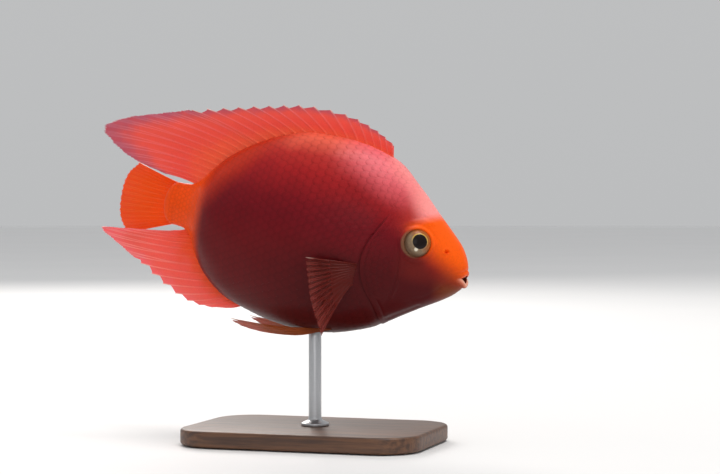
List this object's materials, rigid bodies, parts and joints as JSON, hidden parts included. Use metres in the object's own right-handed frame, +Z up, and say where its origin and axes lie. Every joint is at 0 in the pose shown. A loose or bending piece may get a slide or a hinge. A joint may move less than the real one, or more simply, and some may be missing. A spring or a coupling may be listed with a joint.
{
  "type": "blood parrot cichlid",
  "caption": "Life-size model of a blood parrot cichlid swimming nose down with its fins spread and its tail bent to its left, on a plain display stand.",
  "frame": {"origin": "centre of the flat underside of the stand's base", "axes": "+X the way the fish faces, +Y to the fish's left side, +Z up; the fish is tipped 11 degrees nose down about +Y"},
  "size_m": [0.2026, 0.084, 0.169],
  "materials": {
    "skin": "wet scaled skin, crimson on the flank, pink on the back and orange on the face",
    "eye": "glossy, black pupil in a grey-cream iris with a yellow ring",
    "fin": "thin ribbed membrane, coral pink to orange with pale tips",
    "stand_wood": "dark oiled hardwood with a fine straight grain",
    "stand_steel": "brushed stainless steel"
  },
  "bodies": {
    "root": {"head": "skin", "lower_jaw": "skin", "gill_cover_right": "skin", "gill_cover_left": "skin", "trunk": "skin", "tail_stalk": "skin", "eye_right": "eye", "eye_left": "eye", "dorsal_fin_spiny": "fin", "dorsal_fin_soft": "fin", "anal_fin": "fin", "caudal_fin": "fin", "pectoral_fin_right": "fin", "pectoral_fin_left": "fin", "pelvic_fin_right": "fin", "pelvic_fin_left": "fin", "stand_base": "stand_wood", "stand_rod": "stand_steel"}
  },
  "joints": []
}
